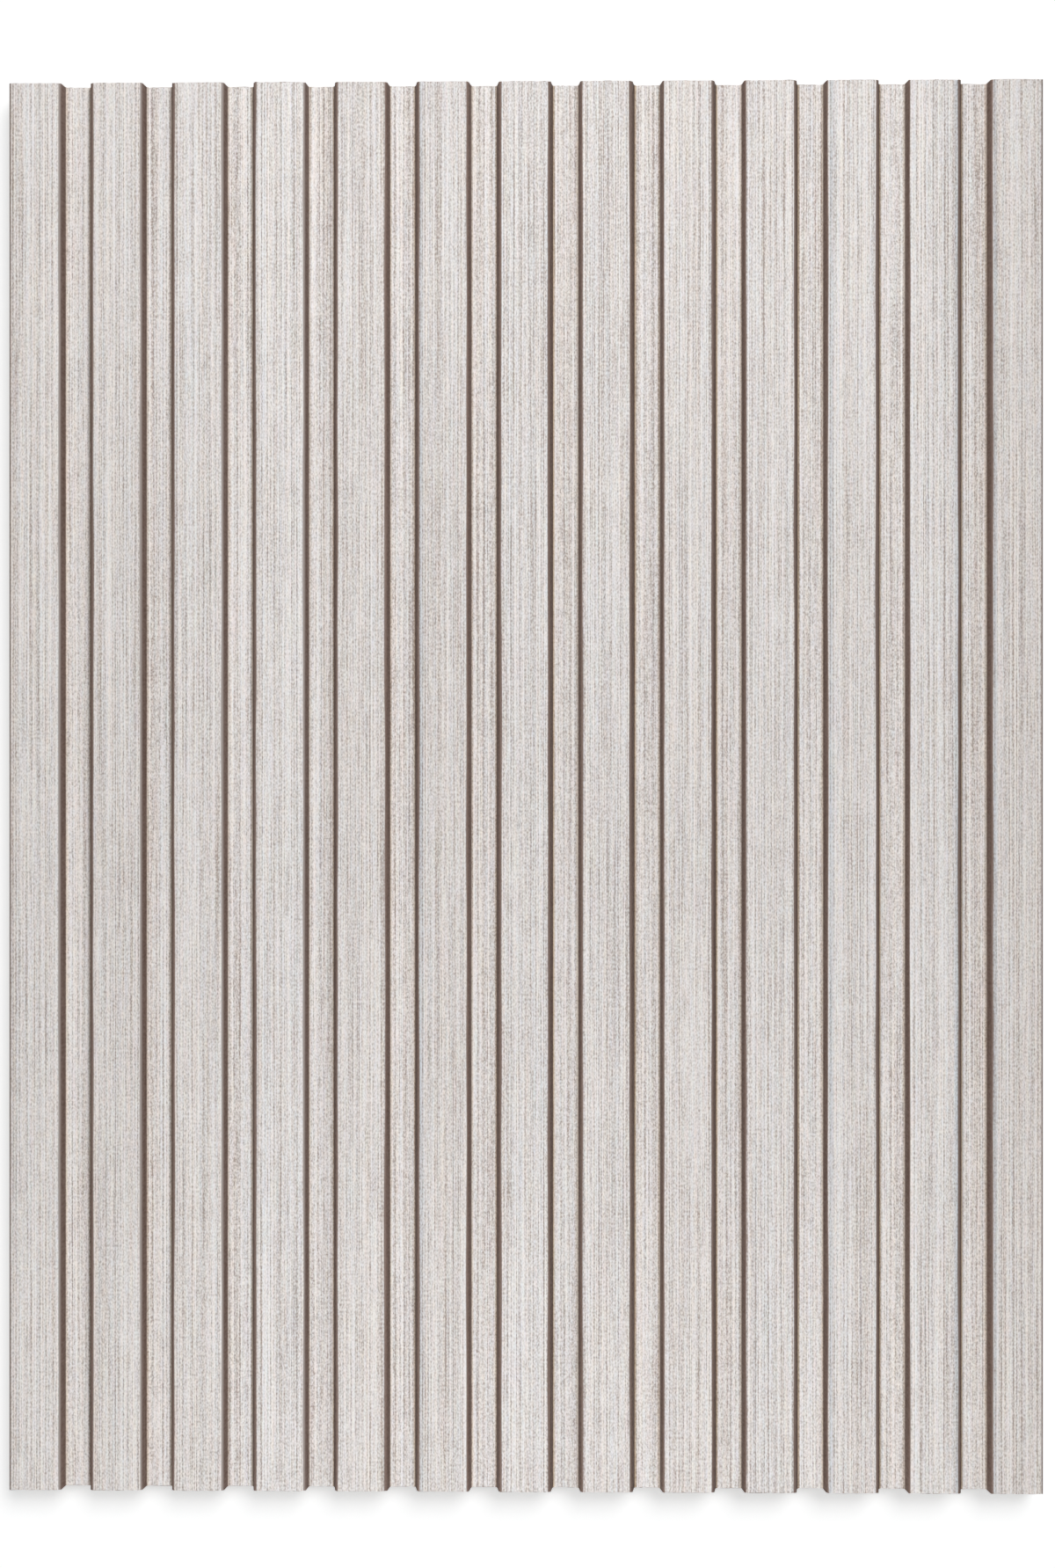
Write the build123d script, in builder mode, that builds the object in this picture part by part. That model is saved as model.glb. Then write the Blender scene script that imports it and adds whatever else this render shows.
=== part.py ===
from build123d import *
from math import radians, tan
import os

os.makedirs("parts", exist_ok=True)

# A ribbed wall board, machined from one blank. Millimetres and degrees.
# The origin is the centre of the flat back face. X runs across the ribs,
# Y along them, and Z from the back face out to the rib faces.

# The blank
board_length = 600.0
board_thickness = 16.0

# The ribs and the grooves between them, measured to their sharp corners
rib_count = 13
rib_width = 22.0
groove_width = 12.8
groove_depth = 7.0

# The cutter leans each groove wall back and leaves a round at its foot
wall_draft = 8.0
cove_radius = 1.5

# Corners sanded round, along the grooves and along the two long sides
arris_radius = 1.2
side_arris_radius = 0.6

# What follows from these sizes
groove_count = rib_count - 1
rib_pitch = rib_width + groove_width
board_width = rib_count * rib_width + groove_count * groove_width
floor_height = board_thickness - groove_depth
floor_width = groove_width - 2 * groove_depth * tan(radians(wall_draft))

# One groove: a flat floor between two walls that lean apart
with BuildSketch() as groove:
    with BuildLine():
        Polyline(
            (-floor_width / 2, floor_height),
            (floor_width / 2, floor_height),
            (groove_width / 2, board_thickness),
            (-groove_width / 2, board_thickness),
            close=True,
        )
    make_face()

# The board's section, drawn at one sawn end
with BuildSketch(Plane.XZ.offset(-board_length / 2)) as section:
    Rectangle(board_width, board_thickness, align=(Align.CENTER, Align.MIN))
    with GridLocations(rib_pitch, 0, groove_count, 1):
        add(groove.sketch, mode=Mode.SUBTRACT)

    # The corners lie at three heights: the back, the floors and the rib faces
    rib_corners = section.vertices().group_by(Axis.Y)[-1]
    fillet(rib_corners.sort_by(Axis.X)[1:-1], arris_radius)
    floor_corners = section.vertices().group_by(Axis.Y)[1]
    fillet(floor_corners, cove_radius)
    side_corners = section.vertices().group_by(Axis.Y)[-1].sort_by(Axis.X)
    fillet([side_corners[0], side_corners[-1]], side_arris_radius)

# The section runs unchanged to the other end
with BuildPart() as ribbed_panel:
    extrude(section.sketch, amount=board_length)

ribbed_panel.part.label = "ribbed_panel"
export_step(ribbed_panel.part, "parts/ribbed_panel.step")
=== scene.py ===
import bmesh
import bpy
from math import pi, radians, tan
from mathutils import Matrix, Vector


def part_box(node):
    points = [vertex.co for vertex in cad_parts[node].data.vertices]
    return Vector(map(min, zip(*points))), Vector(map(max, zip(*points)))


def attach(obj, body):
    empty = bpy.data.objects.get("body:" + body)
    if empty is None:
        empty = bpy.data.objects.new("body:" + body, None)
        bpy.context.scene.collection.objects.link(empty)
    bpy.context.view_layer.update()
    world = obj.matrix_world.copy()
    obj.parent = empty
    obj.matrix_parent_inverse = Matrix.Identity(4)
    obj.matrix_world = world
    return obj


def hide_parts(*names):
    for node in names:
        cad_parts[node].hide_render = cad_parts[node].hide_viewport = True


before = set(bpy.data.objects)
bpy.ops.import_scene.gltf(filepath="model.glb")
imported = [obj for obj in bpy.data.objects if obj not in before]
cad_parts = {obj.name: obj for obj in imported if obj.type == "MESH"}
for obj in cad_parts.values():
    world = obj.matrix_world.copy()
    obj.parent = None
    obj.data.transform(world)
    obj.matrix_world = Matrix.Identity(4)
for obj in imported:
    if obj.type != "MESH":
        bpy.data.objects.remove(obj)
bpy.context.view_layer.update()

# The board
# One piece of fibreboard with a pale fine-line oak finish. A cutter has left
# wide flat ribs and narrower grooves with leaning walls and a cove at their
# feet. Both ends are sawn square, and the corners along the ribs are eased.
lowest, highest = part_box("ribbed_panel")
board_width = highest.x - lowest.x
board_length = highest.y - lowest.y
board_thickness = highest.z
rib_count = 13
rib_width = 0.0220
groove_width = 0.0128
groove_depth = 0.0070
wall_draft = radians(8)
cove_radius = 0.0015
arris_radius = 0.0012
side_arris_radius = 0.0006
rib_pitch = rib_width + groove_width
floor_height = board_thickness - groove_depth
wall_run = groove_depth * tan(wall_draft)
rib_places = [(i - (rib_count - 1) / 2) * rib_pitch for i in range(rib_count)]

# Places closer together than near count as one, and a face looks along an axis
# when its normal has at least the share facing of it
near = 1e-5
facing = 0.9

bpy.ops.object.select_all(action="DESELECT")
bpy.ops.mesh.primitive_cube_add(
    size=1,
    location=(0, 0, floor_height / 2),
    scale=(board_width, board_length, floor_height),
)
board = bpy.context.object
board.name = "board"
bpy.ops.object.transform_apply(location=True, rotation=False, scale=True)
bpy.ops.object.mode_set(mode="EDIT")


def choose(kind, test):
    """Select the faces, edges or verts that pass the test."""
    bpy.ops.mesh.select_mode(type={"faces": "FACE", "edges": "EDGE", "verts": "VERT"}[kind])
    bpy.ops.mesh.select_all(action="DESELECT")
    shape = bmesh.from_edit_mesh(board.data)
    for part in getattr(shape, kind):
        if test(part):
            part.select_set(True)
    shape.select_flush_mode()
    bmesh.update_edit_mesh(board.data)


def runs_along(edge, axis):
    """Whether an edge lies along X, Y or Z (0, 1 or 2)."""
    span = edge.verts[1].co - edge.verts[0].co
    straight = 0.999
    return abs(span[axis]) > straight * span.length


def middle(edge):
    return (edge.verts[0].co + edge.verts[1].co) / 2


# Mark the feet of the groove walls on the blank, then raise the ribs
for place in rib_places:
    for side in (-1, 1):
        foot = place + side * (rib_width / 2 + wall_run)
        if abs(foot) < board_width / 2:
            bpy.ops.mesh.select_all(action="SELECT")
            bpy.ops.mesh.bisect(plane_co=(foot, 0, 0), plane_no=(1, 0, 0))


def under_rib(x):
    return min(abs(x - place) for place in rib_places) < rib_width / 2


choose("faces", lambda face: face.normal.z > facing and under_rib(face.calc_center_median().x))
bpy.ops.mesh.extrude_region_move(TRANSFORM_OT_translate={"value": (0, 0, groove_depth)})

# Lean the walls back by drawing in the top corners of the ribs
for side in (-1, 1):
    feet = [place + side * (rib_width / 2 + wall_run) for place in rib_places]
    choose("verts", lambda vert: vert.co.z > floor_height + near
           and min(abs(vert.co.x - foot) for foot in feet) < near)
    bpy.ops.transform.translate(value=(-side * wall_run, 0, 0))

# Clear the seams that the cuts left on the ends and the back
choose("faces", lambda face: abs(face.normal.y) > facing)
bpy.ops.mesh.dissolve_faces(use_verts=True)
choose("faces", lambda face: face.normal.z < -facing)
bpy.ops.mesh.dissolve_faces(use_verts=True)


def on_face_corner(edge, outer):
    """Whether an edge is a long corner of a rib face: the board's own side if outer."""
    if not runs_along(edge, 1) or middle(edge).z < board_thickness - near:
        return False
    return (abs(middle(edge).x) > board_width / 2 - near) == outer


def on_floor_corner(edge):
    """Whether an edge is the foot of a groove wall."""
    at_floor = abs(middle(edge).z - floor_height) < near
    return runs_along(edge, 1) and at_floor and abs(middle(edge).x) < board_width / 2 - near


# Ease the corners along the ribs and the sides, and round the feet of the
# walls. A round starts corner_reach radii away from a sharp corner
corner_reach = tan((pi / 2 - wall_draft) / 2)
groove_steps = 4
side_steps = 3
choose("edges", lambda edge: on_face_corner(edge, outer=False))
bpy.ops.mesh.bevel(offset=arris_radius * corner_reach, segments=groove_steps, affect="EDGES")
choose("edges", lambda edge: on_face_corner(edge, outer=True))
bpy.ops.mesh.bevel(offset=side_arris_radius, segments=side_steps, affect="EDGES")
choose("edges", on_floor_corner)
bpy.ops.mesh.bevel(offset=cove_radius * corner_reach, segments=groove_steps, affect="EDGES")

# Cut the flats into narrow columns and the whole length into rows, for the relief
face_cuts = 26
floor_cuts = 10
length_cuts = 74
choose("edges", lambda edge: runs_along(edge, 0) and middle(edge).z > board_thickness - near
       and edge.calc_length() > rib_width / 2)
bpy.ops.mesh.subdivide(number_cuts=face_cuts)
choose("edges", lambda edge: runs_along(edge, 0) and abs(middle(edge).z - floor_height) < near
       and edge.calc_length() > groove_width / 2)
bpy.ops.mesh.subdivide(number_cuts=floor_cuts)
choose("edges", lambda edge: runs_along(edge, 1) and edge.calc_length() > board_length / 2)
bpy.ops.mesh.subdivide(number_cuts=length_cuts)
bpy.ops.object.mode_set(mode="OBJECT")


def roughen(vert_test, scale, strength, direction, middle_level):
    """Move the verts that pass the test by cloudy noise of the given scale, in metres."""
    group = board.vertex_groups.new(name="roughened")
    group.add([v.index for v in board.data.vertices if vert_test(v.co)], 1.0, "REPLACE")
    bpy.ops.object.empty_add(location=(0, 0, 0))
    ruler = bpy.context.object
    ruler.scale = scale
    noise = bpy.data.textures.new("relief", "CLOUDS")
    noise.noise_scale = 1.0
    bpy.context.view_layer.objects.active = board
    modifier = board.modifiers.new("relief", "DISPLACE")
    modifier.texture = noise
    modifier.texture_coords = "OBJECT"
    modifier.texture_coords_object = ruler
    modifier.vertex_group = group.name
    modifier.direction = direction
    modifier.strength = strength
    modifier.mid_level = middle_level
    bpy.context.view_layer.update()
    bpy.ops.object.modifier_apply(modifier=modifier.name)
    board.vertex_groups.clear()
    bpy.data.objects.remove(ruler)


# The brushed lines stand a few hundredths of a millimetre up and down, the
# corners wander a little, and the saw has broken fibres out of both ends
line_scale = (0.0011, 0.15, 0.0011)
line_relief = 0.00004
wander_scale = (0.006, 0.03, 0.006)
wander_relief = 0.00003
fibre_scale = (0.0009, 1, 0.003)
fibre_depth = 0.0005
back_skin = 0.001
end_place = board_length / 2 - near
roughen(lambda co: co.z > floor_height / 2, line_scale, line_relief, "NORMAL", 0.5)
roughen(lambda co: co.z > floor_height / 2, wander_scale, wander_relief, "NORMAL", 0.5)
roughen(lambda co: co.y > end_place and co.z > back_skin, fibre_scale, -fibre_depth, "Y", 0.0)
roughen(lambda co: co.y < -end_place and co.z > back_skin, fibre_scale, fibre_depth, "Y", 0.0)

# The empties that gave the scales have left the board unselected
board.select_set(True)
bpy.ops.object.shade_smooth_by_angle(angle=radians(35))


# The finish
class Wire:
    """A socket of a material. Arithmetic on it adds Math nodes."""

    def __init__(self, tree, socket):
        self.tree = tree
        self.socket = socket

    def node(self, kind, settings, inputs, output=0):
        """Add a node with its settings made first, then its inputs set or linked."""
        made = self.tree.nodes.new(kind)
        for name, value in settings.items():
            setattr(made, name, value)
        for name, value in inputs.items():
            if isinstance(value, Wire):
                self.tree.links.new(value.socket, made.inputs[name])
            else:
                made.inputs[name].default_value = value
        return Wire(self.tree, made.outputs[output])

    def math(self, operation, *others):
        inputs = dict(enumerate((self, *others)))
        return self.node("ShaderNodeMath", {"operation": operation}, inputs)

    def __add__(self, other):
        return self.math("ADD", other)

    def __sub__(self, other):
        return self.math("SUBTRACT", other)

    def __mul__(self, other):
        return self.math("MULTIPLY", other)

    def __rsub__(self, other):
        return self * -1.0 + other

    def __abs__(self):
        return self.math("ABSOLUTE")

    __radd__ = __add__
    __rmul__ = __mul__

    def rise(self, low, high, start=0.0, end=1.0):
        """start below low, end above high and smooth between them."""
        return self.node(
            "ShaderNodeMapRange",
            {"interpolation_type": "SMOOTHSTEP"},
            {"Value": self, "From Min": low, "From Max": high, "To Min": start, "To Max": end},
        )

    def fall(self, low, high):
        """1 below low, 0 above high and smooth between them."""
        return self.rise(low, high, start=1.0, end=0.0)

    def tint(self, red, green, blue):
        """This colour with its channels multiplied."""
        factors = self.node("ShaderNodeCombineXYZ", {}, {0: red, 1: green, 2: blue})
        return self.node("ShaderNodeVectorMath", {"operation": "MULTIPLY"}, {0: self, 1: factors})

    def blend(self, colour_a, colour_b):
        """colour_a where this is 0, and colour_b where it is 1."""
        return self.node(
            "ShaderNodeMix", {"data_type": "RGBA"}, {0: self, 6: colour_a, 7: colour_b}, 2
        )


def start_material(name):
    """A new material, its nodes, its shader and the place on the board in millimetres."""
    material = bpy.data.materials.new(name)
    material.use_nodes = True
    tree = material.node_tree
    shader = tree.nodes["Principled BSDF"]
    place = tree.nodes.new("ShaderNodeTexCoord").outputs["Object"]
    split = tree.nodes.new("ShaderNodeSeparateXYZ")
    tree.links.new(place, split.inputs[0])
    x, y, z = (Wire(tree, split.outputs[i]) * 1000 for i in range(3))
    return material, tree, shader, x, y, z


def streaks(place, width, run, seed, detail=0.0):
    """Noise of mean 0 stretched along the board, with its width and run in millimetres.

    It changes slowly with height, so that a face, a wall and a floor differ.
    """
    x, y, z = place
    spot = x.node(
        "ShaderNodeCombineXYZ", {}, {0: x * (1 / width), 1: y * (1 / run), 2: z * 0.3 + seed}
    )
    noise = spot.node("ShaderNodeTexNoise", {}, {"Vector": spot, "Scale": 1.0, "Detail": detail})
    return noise - 0.5


def chance(number, seed):
    """A steady random value from 0 to 1 for each whole number."""
    spot = number.node("ShaderNodeCombineXYZ", {}, {0: number, 1: seed})
    return spot.node("ShaderNodeTexWhiteNoise", {"noise_dimensions": "2D"}, {"Vector": spot})


def marked(number, marks):
    """The value that marks gives for a whole number, and 0 where it gives none."""
    slack = 0.1
    return sum(number.math("COMPARE", mark, slack) * value for mark, value in marks.items())


finish, tree, shader, x, y, z = start_material("fine_line_oak")
place = (x, y, z)
pitch = rib_pitch * 1000
half_width = board_width * 500
half_groove = groove_width * 500

# Places across the board, in millimetres. phase runs from 0 in the middle of
# a rib to 1 in the middle of the next one, and past_corner is 0 at the sharp
# corner of a groove, less in the groove and more on the rib face
phase = (x * (1 / pitch) + rib_count).math("FRACT")
past_corner = abs(phase * pitch - pitch / 2) - half_groove
on_floor = past_corner.fall(-0.2, 0.2)

# Ribs and grooves are numbered from 1 on the left, and the two halves of each
# rib from 13, the left half of rib 1
rib_number = (x * (1 / pitch) + rib_count / 2).math("FLOOR") + 1
groove_number = (x * (1 / pitch) + (rib_count + 1) / 2).math("FLOOR")
half_number = (x * (2 / pitch) + 2 * rib_count).math("FLOOR")

# Tone: fine lines as long as the board, shorter ones among them, and speckle
long_lines = streaks(place, width=0.60, run=1500.0, seed=3.0)
broken_lines = streaks(place, width=0.56, run=160.0, seed=17.0)
short_lines = streaks(place, width=0.52, run=11.0, seed=29.0)
dark_fibres = streaks(place, width=0.45, run=70.0, seed=97.0).rise(0.08, 0.26)
speckle = streaks(place, width=0.52, run=1.0, seed=41.0)
floor_grit = streaks(place, width=0.5, run=0.5, seed=59.0) * on_floor
lines = long_lines * 0.68 + broken_lines * 0.54 + short_lines * 0.36 - dark_fibres * 0.17
grain = lines * (1 - on_floor * 0.04) + speckle * 0.77 + floor_grit * 0.35
grain = grain - grain * grain

# Some ribs and grooves are a shade darker or paler. This is partly the veneer's
# own tone and partly painted light: the outer ribs are painted paler where the
# softbox light falls off toward the sides, and every groove floor is painted a
# little paler against the shade in the grooves
rib_tones_and_painted_light = {1: 0.09, 2: 0.03, 3: 0.05, 4: 0.07, 6: -0.04, 9: -0.03, 12: 0.05}
floor_tones_and_painted_light = {4: -0.055, 5: 0.035, 7: -0.05, 9: -0.02, 10: 0.03, 11: 0.045}
tone_and_painted_light = marked(rib_number, rib_tones_and_painted_light) + (marked(groove_number, floor_tones_and_painted_light) + 0.008) * on_floor

line_dark = (0.360, 0.307, 0.279, 1.0)
line_pale = (0.957, 0.937, 0.927, 1.0)
colour = (grain + tone_and_painted_light + 0.5).blend(line_dark, line_pale)

# Hue: beige, grey and pink drift a little from line to line and rib to rib
rib_warmth = {1: 0.008, 2: 0.005, 4: -0.004, 7: -0.008, 8: -0.005, 10: -0.004, 13: 0.009}
warmth = (
    streaks(place, width=1.6, run=400.0, seed=53.0) * 0.05
    + streaks(place, width=0.9, run=50.0, seed=67.0) * 0.07
    + streaks(place, width=1.2, run=3.0, seed=71.0) * 0.07
    + marked(rib_number, rib_warmth)
)
greenness = streaks(place, width=1.0, run=20.0, seed=83.0) * 0.065
colour = colour.tint(warmth + 1, greenness + 1, 1 - warmth)

# A cool grey band lies along the left corner of ribs 6, 11 and 13 and the right
# one of rib 12, and a warm band along the left corner of ribs 1 to 4
band_place = past_corner.rise(0.75, 1.25) * past_corner.fall(1.7, 3.5)
cool = marked(half_number, {23: 1, 33: 1, 36: 1, 37: 1}) * band_place
warm = marked(half_number, {13: 1, 15: 1, 17: 1, 19: 1}) * band_place
colour = colour.tint(1 - cool * 0.19, 1 - cool * 0.15, 1 - cool * 0.11)
colour = colour.tint(1 - warm * 0.06, 1 - warm * 0.075, 1 - warm * 0.085)

# Shade is painted on the walls that face the board's two sides, as if a light
# over the middle of the board left them in shade. outward is 1 on those walls
# and 0 on the walls that face the middle
rightward = 0.5 - phase
faces_right = rightward.rise(-0.1, 0.1)
outward = (rightward * x).rise(-4.0, 4.0)
inward = 1 - outward
far_right = outward * outward * faces_right
far_inward = inward * inward * (1 - faces_right)

# Shade is painted in warm brown at the foot of each groove wall, deepest on
# the walls that face the sides
foot = (past_corner + outward * 0.2).rise(-2.1, -1.0) * past_corner.fall(-0.2, 0.0)
foot = foot * (outward * faces_right * 0.4 + far_right * 0.3 + outward * 0.45 + 1)
colour = colour.tint(1 - foot * 0.11, 1 - foot * 0.18, 1 - foot * 0.26)

# The groove walls are stained brown. Shade is painted on them, deeper toward
# the floor and on the right side's walls that face right. Their corners are
# greyed a little everywhere and painted paler near the left side on the walls
# that face the middle, as painted light
wall_brown = (0.141, 0.089, 0.070, 1.0)
wall_pale = (0.204, 0.138, 0.112, 1.0)
corner_grey = (0.330, 0.286, 0.266, 1.0)
wall_lines = streaks(place, width=0.4, run=40.0, seed=71.0, detail=2.0)
wall_colour = (wall_lines * 2.5 + speckle * 1.5 + 0.5).blend(wall_brown, wall_pale)
# Painted shade: darker low on the walls, and on the right side's walls that face right
wall_painted_shade = 1 - past_corner.fall(-0.8, -0.2) * 0.12 - far_right * 0.2
wall_colour = wall_colour.tint(wall_painted_shade, wall_painted_shade, wall_painted_shade)
# Painted light: the corners are paler grey near the left side on the walls that face the middle
grey_corner_and_painted_light = x.fall(-100.0, -70.0) * inward * 0.85 + 0.15
wall_colour = (past_corner.rise(-0.35, 0.65) * grey_corner_and_painted_light).blend(wall_colour, corner_grey)

# The stain runs from the foot of the wall to a little past its eased corner,
# with an edge that wanders, and it covers the eased corners of both long sides.
# It is painted further over the walls that face the sides, as painted shade
wandering = streaks(place, width=8.0, run=60.0, seed=91.0) * 0.8 + chance(half_number, 2.0) * 0.4
stain_and_shade_edge = wandering + outward * 0.2 + faces_right * 0.14 + far_right * 0.09 + 0.59
stain_and_shade_foot = past_corner + outward * 0.16 - far_inward * 0.12
stain_and_painted_shade = (stain_and_shade_edge - past_corner).rise(-0.3, 0.2) * stain_and_shade_foot.rise(-1.2, -0.75)
in_grooves = abs(x).fall(half_width - 4.1, half_width - 4.0)
on_side = abs(x).rise(half_width - 1.0, half_width - 0.5)
colour = (stain_and_painted_shade * in_grooves + on_side * 0.85).blend(colour, wall_colour)

sheen = 0.2
roughness = 0.6 - grain * 0.4
grain_bump = grain.node(
    "ShaderNodeBump", {}, {"Strength": 0.35, "Distance": 0.0001, "Height": grain}
)
tree.links.new(colour.socket, shader.inputs["Base Color"])
tree.links.new(roughness.socket, shader.inputs["Roughness"])
tree.links.new(grain_bump.socket, shader.inputs["Normal"])
shader.inputs["Specular IOR Level"].default_value = sheen

# The raw board, which shows on the sawn ends, the long sides and the back
raw, tree, shader, x, y, z = start_material("raw_fibreboard")
raw_dark = (0.34, 0.235, 0.155, 1.0)
raw_pale = (0.50, 0.37, 0.26, 1.0)
fibre = streaks((x, y, z * 10), width=0.5, run=0.5, seed=5.0, detail=3.0)
raw_colour = (fibre * 2 + 0.5).blend(raw_dark, raw_pale)
tree.links.new(raw_colour.socket, shader.inputs["Base Color"])
shader.inputs["Roughness"].default_value = 0.85
shader.inputs["Specular IOR Level"].default_value = sheen

board.data.materials.append(finish)
board.data.materials.append(raw)
for polygon in board.data.polygons:
    at_end = abs(polygon.normal.y) > facing
    at_back = polygon.normal.z < -facing
    at_side = abs(polygon.normal.x) > 0.99 and abs(polygon.center.x) > board_width / 2 - near
    polygon.material_index = 1 if at_end or at_back or at_side else 0

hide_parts("ribbed_panel")
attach(board, "root")

# The studio
# A white floor that the board lies on, two softboxes over its ends for the
# board, a weak lamp from the upper right, and an even pale sky. The floor has
# a lamp of its own from the upper right, for the soft shadow on it.
floor_size = 12
floor_drop = 0.0002
bpy.ops.mesh.primitive_plane_add(size=floor_size, location=(0, 0, -floor_drop))
floor = bpy.context.object
floor.name = "floor"
floor_paint = bpy.data.materials.new("floor_white")
floor_paint.use_nodes = True
tree = floor_paint.node_tree
shader = tree.nodes["Principled BSDF"]
shader.inputs["Base Color"].default_value = (0.9, 0.9, 0.9, 1.0)
shader.inputs["Roughness"].default_value = 1.0
shader.inputs["Specular IOR Level"].default_value = 0.0


def seen_straight(tree):
    """1 for rays from the camera and in reflections or glass, 0 for the light on things."""
    rays = tree.nodes.new("ShaderNodeLightPath").outputs
    seen = Wire(tree, rays["Is Camera Ray"])
    return seen + Wire(tree, rays["Is Glossy Ray"]) + Wire(tree, rays["Is Transmission Ray"])


# A glow that lights nothing else makes the floor white around its shadow
glow_colour = (0.978, 0.993, 1, 1)
glow_strength = 0.57
seen = seen_straight(tree)
paint = Wire(tree, shader.outputs[0])
glow = seen.node("ShaderNodeEmission", {}, {"Color": glow_colour, "Strength": glow_strength})
lit = glow.node("ShaderNodeAddShader", {}, {0: paint, 1: glow})
shown = seen.node("ShaderNodeMixShader", {}, {0: seen, 1: paint, 2: lit})
tree.links.new(shown.socket, tree.nodes["Material Output"].inputs["Surface"])
floor.data.materials.append(floor_paint)

board_group = bpy.data.collections.new("lit_board")
board_group.objects.link(board)
floor_group = bpy.data.collections.new("lit_floor")
floor_group.objects.link(floor)


def add_sun(name, strength, spread, lean):
    """A lamp as far away as the sun, leaning by degrees about X and Y."""
    bpy.ops.object.light_add(type="SUN", location=(0, 0, 2), rotation=[radians(a) for a in lean])
    lamp = bpy.context.object
    lamp.name = name
    lamp.data.energy = strength
    lamp.data.angle = radians(spread)
    return lamp


add_sun("key", strength=0.4, spread=24, lean=(-20, 20, 0))
floor_lamp = add_sun("floor_lamp", strength=1.11, spread=30, lean=(-34, 20, 0))
floor_lamp.light_linking.receiver_collection = floor_group


def add_softbox(name, y, power):
    """A lamp like a lit sheet, over one end of the board and facing down."""
    height = board_thickness + 0.6
    bpy.ops.object.light_add(type="AREA", location=(0.015, y, height))
    lamp = bpy.context.object
    lamp.name = name
    lamp.data.shape = "RECTANGLE"
    lamp.data.size = 0.2
    lamp.data.size_y = 0.5
    lamp.data.energy = power
    lamp.visible_camera = False
    lamp.light_linking.receiver_collection = board_group


add_softbox("softbox_top", y=0.435, power=3.25)
add_softbox("softbox_bottom", y=-0.435, power=3.01)

sky_light = 0.12
world = bpy.data.worlds.new("sky")
bpy.context.scene.world = world
world.use_nodes = True
tree = world.node_tree
seen = seen_straight(tree)
sky = seen.node("ShaderNodeBackground", {}, {"Color": (1, 1, 1, 1), "Strength": sky_light})
backdrop = seen.node("ShaderNodeBackground", {}, {"Color": (1, 1, 1, 1), "Strength": 1.0})
shown = seen.node("ShaderNodeMixShader", {}, {0: seen, 1: sky, 2: backdrop})
tree.links.new(shown.socket, tree.nodes["World Output"].inputs["Surface"])

# The camera looks straight down from a metre, a shade from the right
camera_distance = 1.0
camera_place = (0.0149, 0.0011, board_thickness + camera_distance)
camera_tilt = radians(0.783)
bpy.ops.object.camera_add(location=camera_place, rotation=(0, camera_tilt, 0))
camera = bpy.context.object
camera.data.lens = 54.03
camera.data.sensor_width = 36
bpy.context.scene.camera = camera
bpy.context.scene.view_settings.view_transform = "Standard"
